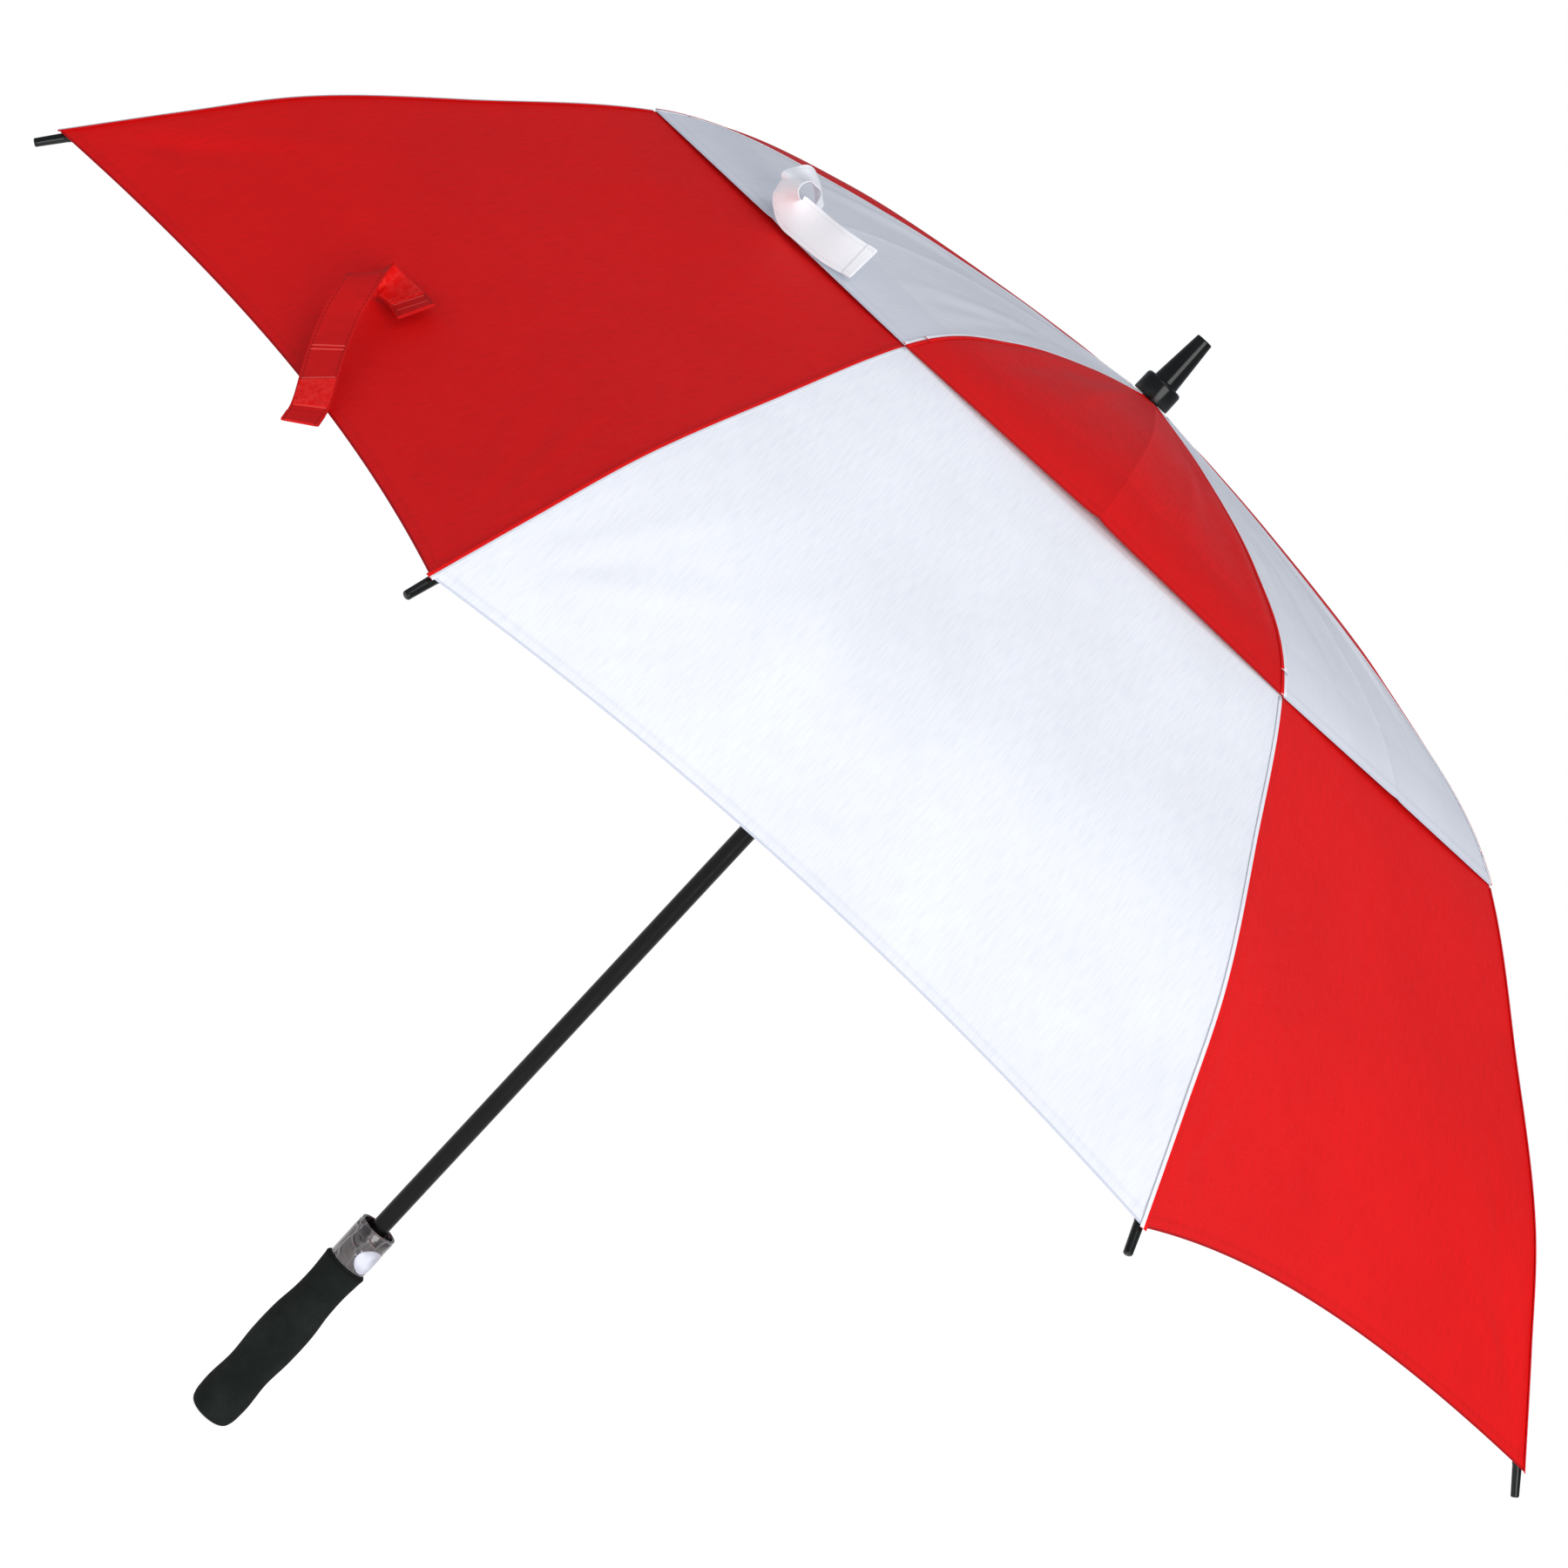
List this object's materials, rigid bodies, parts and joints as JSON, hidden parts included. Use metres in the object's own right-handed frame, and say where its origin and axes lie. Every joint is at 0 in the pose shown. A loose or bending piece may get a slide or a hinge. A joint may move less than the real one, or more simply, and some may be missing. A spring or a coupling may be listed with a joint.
{
  "type": "golf umbrella",
  "caption": "Large open golf umbrella with a vented double canopy, a straight shaft and a foam grip with a push button that opens it.",
  "frame": {"origin": "centre of the flat face at the grip's butt", "axes": "+Z along the shaft towards the ferrule, +X along rib 1; the other ribs follow anticlockwise seen from the ferrule"},
  "size_m": [1.3208, 1.3208, 0.994],
  "materials": {
    "black_plastic": "gloss moulding",
    "black_fibreglass": "gloss lacquer over wound fibreglass",
    "steel_wire": "bright drawn wire",
    "foam": "matte closed-cell foam with a fine skin",
    "grey_plastic": "smoky grey moulding in clear film",
    "lilac_plastic": "satin moulding",
    "red_fabric": "fine plain weave with a light sheen",
    "white_fabric": "fine plain weave with a light sheen",
    "red_webbing": "woven strap with loop patches",
    "white_webbing": "woven strap with loop patches"
  },
  "bodies": {
    "shaft_assembly": {"shaft": "black_fibreglass", "ferrule": "black_plastic", "crown": "black_plastic", "crown_wire": "steel_wire", "grip_foam": "foam", "handle_body": "grey_plastic", "button_spring": "steel_wire"},
    "button": {"push_button": "lilac_plastic"},
    "runner": {"runner": "black_plastic", "runner_wire": "steel_wire"},
    "inner_rib_1": {"rib_inner_1": "black_fibreglass", "upper_gore_1": "white_fabric", "strap_white": "white_webbing"},
    "outer_rib_1": {"rib_outer_1": "black_fibreglass", "rib_tip_1": "black_plastic", "lower_gore_1": "red_fabric", "strap_red": "red_webbing"},
    "stretcher_1": {"stretcher_1": "black_fibreglass"},
    "inner_rib_2": {"rib_inner_2": "black_fibreglass", "upper_gore_2": "red_fabric"},
    "outer_rib_2": {"rib_outer_2": "black_fibreglass", "rib_tip_2": "black_plastic", "lower_gore_2": "white_fabric"},
    "stretcher_2": {"stretcher_2": "black_fibreglass"},
    "inner_rib_3": {"rib_inner_3": "black_fibreglass", "upper_gore_3": "white_fabric"},
    "outer_rib_3": {"rib_outer_3": "black_fibreglass", "rib_tip_3": "black_plastic", "lower_gore_3": "red_fabric"},
    "stretcher_3": {"stretcher_3": "black_fibreglass"},
    "inner_rib_4": {"rib_inner_4": "black_fibreglass", "upper_gore_4": "red_fabric"},
    "outer_rib_4": {"rib_outer_4": "black_fibreglass", "rib_tip_4": "black_plastic", "lower_gore_4": "white_fabric"},
    "stretcher_4": {"stretcher_4": "black_fibreglass"},
    "inner_rib_5": {"rib_inner_5": "black_fibreglass", "upper_gore_5": "white_fabric"},
    "outer_rib_5": {"rib_outer_5": "black_fibreglass", "rib_tip_5": "black_plastic", "lower_gore_5": "red_fabric"},
    "stretcher_5": {"stretcher_5": "black_fibreglass"},
    "inner_rib_6": {"rib_inner_6": "black_fibreglass", "upper_gore_6": "red_fabric"},
    "outer_rib_6": {"rib_outer_6": "black_fibreglass", "rib_tip_6": "black_plastic", "lower_gore_6": "white_fabric"},
    "stretcher_6": {"stretcher_6": "black_fibreglass"},
    "inner_rib_7": {"rib_inner_7": "black_fibreglass", "upper_gore_7": "white_fabric"},
    "outer_rib_7": {"rib_outer_7": "black_fibreglass", "rib_tip_7": "black_plastic", "lower_gore_7": "red_fabric"},
    "stretcher_7": {"stretcher_7": "black_fibreglass"},
    "inner_rib_8": {"rib_inner_8": "black_fibreglass", "upper_gore_8": "red_fabric"},
    "outer_rib_8": {"rib_outer_8": "black_fibreglass", "rib_tip_8": "black_plastic", "lower_gore_8": "white_fabric"},
    "stretcher_8": {"stretcher_8": "black_fibreglass"}
  },
  "joints": [
    {"name": "rib_1_fold", "type": "hinge", "parent": "shaft_assembly", "child": "inner_rib_1", "pos_m": [0.011, 0, 0.936], "axis": [0, 1, 0], "range_deg": [0, 75.1], "stiffness_Nm_per_rad": 2, "springref_deg": -171.89, "deforming": ["upper_gore_1", "lower_gore_1", "strap_white", "strap_red"]},
    {"name": "rib_1_flex", "type": "hinge", "parent": "inner_rib_1", "child": "outer_rib_1", "pos_m": [0.366, 0, 0.8672], "axis": [0, 1, 0], "range_deg": [-25.68, 0]},
    {"name": "stretcher_1_pivot", "type": "hinge", "parent": "inner_rib_1", "child": "stretcher_1", "pos_m": [0.3633, 0, 0.86184], "axis": [0, 1, 0], "range_deg": [-150.2, 0]},
    {"name": "rib_2_fold", "type": "hinge", "parent": "shaft_assembly", "child": "inner_rib_2", "pos_m": [0.00778, 0.00778, 0.936], "axis": [-0.7071, 0.7071, 0], "range_deg": [0, 75.1], "deforming": ["upper_gore_2", "lower_gore_2"]},
    {"name": "rib_2_flex", "type": "hinge", "parent": "inner_rib_2", "child": "outer_rib_2", "pos_m": [0.2588, 0.2588, 0.8672], "axis": [-0.7071, 0.7071, 0], "range_deg": [-25.68, 0]},
    {"name": "stretcher_2_pivot", "type": "hinge", "parent": "inner_rib_2", "child": "stretcher_2", "pos_m": [0.25689, 0.25689, 0.86184], "axis": [-0.7071, 0.7071, 0], "range_deg": [-150.2, 0]},
    {"name": "rib_3_fold", "type": "hinge", "parent": "shaft_assembly", "child": "inner_rib_3", "pos_m": [0, 0.011, 0.936], "axis": [-1, 0, 0], "range_deg": [0, 75.1], "deforming": ["upper_gore_3", "lower_gore_3"]},
    {"name": "rib_3_flex", "type": "hinge", "parent": "inner_rib_3", "child": "outer_rib_3", "pos_m": [0, 0.366, 0.8672], "axis": [-1, 0, 0], "range_deg": [-25.68, 0]},
    {"name": "stretcher_3_pivot", "type": "hinge", "parent": "inner_rib_3", "child": "stretcher_3", "pos_m": [0, 0.3633, 0.86184], "axis": [-1, 0, 0], "range_deg": [-150.2, 0]},
    {"name": "rib_4_fold", "type": "hinge", "parent": "shaft_assembly", "child": "inner_rib_4", "pos_m": [-0.00778, 0.00778, 0.936], "axis": [-0.7071, -0.7071, 0], "range_deg": [0, 75.1], "deforming": ["upper_gore_4", "lower_gore_4"]},
    {"name": "rib_4_flex", "type": "hinge", "parent": "inner_rib_4", "child": "outer_rib_4", "pos_m": [-0.2588, 0.2588, 0.8672], "axis": [-0.7071, -0.7071, 0], "range_deg": [-25.68, 0]},
    {"name": "stretcher_4_pivot", "type": "hinge", "parent": "inner_rib_4", "child": "stretcher_4", "pos_m": [-0.25689, 0.25689, 0.86184], "axis": [-0.7071, -0.7071, 0], "range_deg": [-150.2, 0]},
    {"name": "rib_5_fold", "type": "hinge", "parent": "shaft_assembly", "child": "inner_rib_5", "pos_m": [-0.011, 0, 0.936], "axis": [0, -1, 0], "range_deg": [0, 75.1], "deforming": ["upper_gore_5", "lower_gore_5"]},
    {"name": "rib_5_flex", "type": "hinge", "parent": "inner_rib_5", "child": "outer_rib_5", "pos_m": [-0.366, 0, 0.8672], "axis": [0, -1, 0], "range_deg": [-25.68, 0]},
    {"name": "stretcher_5_pivot", "type": "hinge", "parent": "inner_rib_5", "child": "stretcher_5", "pos_m": [-0.3633, 0, 0.86184], "axis": [0, -1, 0], "range_deg": [-150.2, 0]},
    {"name": "rib_6_fold", "type": "hinge", "parent": "shaft_assembly", "child": "inner_rib_6", "pos_m": [-0.00778, -0.00778, 0.936], "axis": [0.7071, -0.7071, 0], "range_deg": [0, 75.1], "deforming": ["upper_gore_6", "lower_gore_6"]},
    {"name": "rib_6_flex", "type": "hinge", "parent": "inner_rib_6", "child": "outer_rib_6", "pos_m": [-0.2588, -0.2588, 0.8672], "axis": [0.7071, -0.7071, 0], "range_deg": [-25.68, 0]},
    {"name": "stretcher_6_pivot", "type": "hinge", "parent": "inner_rib_6", "child": "stretcher_6", "pos_m": [-0.25689, -0.25689, 0.86184], "axis": [0.7071, -0.7071, 0], "range_deg": [-150.2, 0]},
    {"name": "rib_7_fold", "type": "hinge", "parent": "shaft_assembly", "child": "inner_rib_7", "pos_m": [0, -0.011, 0.936], "axis": [1, 0, 0], "range_deg": [0, 75.1], "deforming": ["upper_gore_7", "lower_gore_7"]},
    {"name": "rib_7_flex", "type": "hinge", "parent": "inner_rib_7", "child": "outer_rib_7", "pos_m": [0, -0.366, 0.8672], "axis": [1, 0, 0], "range_deg": [-25.68, 0]},
    {"name": "stretcher_7_pivot", "type": "hinge", "parent": "inner_rib_7", "child": "stretcher_7", "pos_m": [0, -0.3633, 0.86184], "axis": [1, 0, 0], "range_deg": [-150.2, 0]},
    {"name": "rib_8_fold", "type": "hinge", "parent": "shaft_assembly", "child": "inner_rib_8", "pos_m": [0.00778, -0.00778, 0.936], "axis": [0.7071, 0.7071, 0], "range_deg": [0, 75.1], "deforming": ["upper_gore_8", "lower_gore_8"]},
    {"name": "rib_8_flex", "type": "hinge", "parent": "inner_rib_8", "child": "outer_rib_8", "pos_m": [0.2588, -0.2588, 0.8672], "axis": [0.7071, 0.7071, 0], "range_deg": [-25.68, 0]},
    {"name": "stretcher_8_pivot", "type": "hinge", "parent": "inner_rib_8", "child": "stretcher_8", "pos_m": [0.25689, -0.25689, 0.86184], "axis": [0.7071, 0.7071, 0], "range_deg": [-150.2, 0]},
    {"name": "runner_pivot", "type": "hinge", "parent": "stretcher_1", "child": "runner", "pos_m": [0.011, 0, 0.78768], "axis": [0, 1, 0], "range_deg": [0, 75.1]},
    {"name": "button_press", "type": "slide", "parent": "shaft_assembly", "child": "button", "axis": [0.4226, -0.9063, 0], "range_m": [0, 0.0016], "stiffness_N_per_m": 600, "springref_m": -0.001, "deforming": ["button_spring"]}
  ],
  "couplings": [
    {"joint": "rib_1_flex", "follows": "rib_1_fold", "ratio": -0.342},
    {"joint": "stretcher_1_pivot", "follows": "rib_1_fold", "ratio": -2},
    {"joint": "rib_2_fold", "follows": "rib_1_fold", "ratio": 1},
    {"joint": "rib_2_flex", "follows": "rib_1_fold", "ratio": -0.342},
    {"joint": "stretcher_2_pivot", "follows": "rib_1_fold", "ratio": -2},
    {"joint": "rib_3_fold", "follows": "rib_1_fold", "ratio": 1},
    {"joint": "rib_3_flex", "follows": "rib_1_fold", "ratio": -0.342},
    {"joint": "stretcher_3_pivot", "follows": "rib_1_fold", "ratio": -2},
    {"joint": "rib_4_fold", "follows": "rib_1_fold", "ratio": 1},
    {"joint": "rib_4_flex", "follows": "rib_1_fold", "ratio": -0.342},
    {"joint": "stretcher_4_pivot", "follows": "rib_1_fold", "ratio": -2},
    {"joint": "rib_5_fold", "follows": "rib_1_fold", "ratio": 1},
    {"joint": "rib_5_flex", "follows": "rib_1_fold", "ratio": -0.342},
    {"joint": "stretcher_5_pivot", "follows": "rib_1_fold", "ratio": -2},
    {"joint": "rib_6_fold", "follows": "rib_1_fold", "ratio": 1},
    {"joint": "rib_6_flex", "follows": "rib_1_fold", "ratio": -0.342},
    {"joint": "stretcher_6_pivot", "follows": "rib_1_fold", "ratio": -2},
    {"joint": "rib_7_fold", "follows": "rib_1_fold", "ratio": 1},
    {"joint": "rib_7_flex", "follows": "rib_1_fold", "ratio": -0.342},
    {"joint": "stretcher_7_pivot", "follows": "rib_1_fold", "ratio": -2},
    {"joint": "rib_8_fold", "follows": "rib_1_fold", "ratio": 1},
    {"joint": "rib_8_flex", "follows": "rib_1_fold", "ratio": -0.342},
    {"joint": "stretcher_8_pivot", "follows": "rib_1_fold", "ratio": -2},
    {"joint": "runner_pivot", "follows": "rib_1_fold", "ratio": 1}
  ]
}
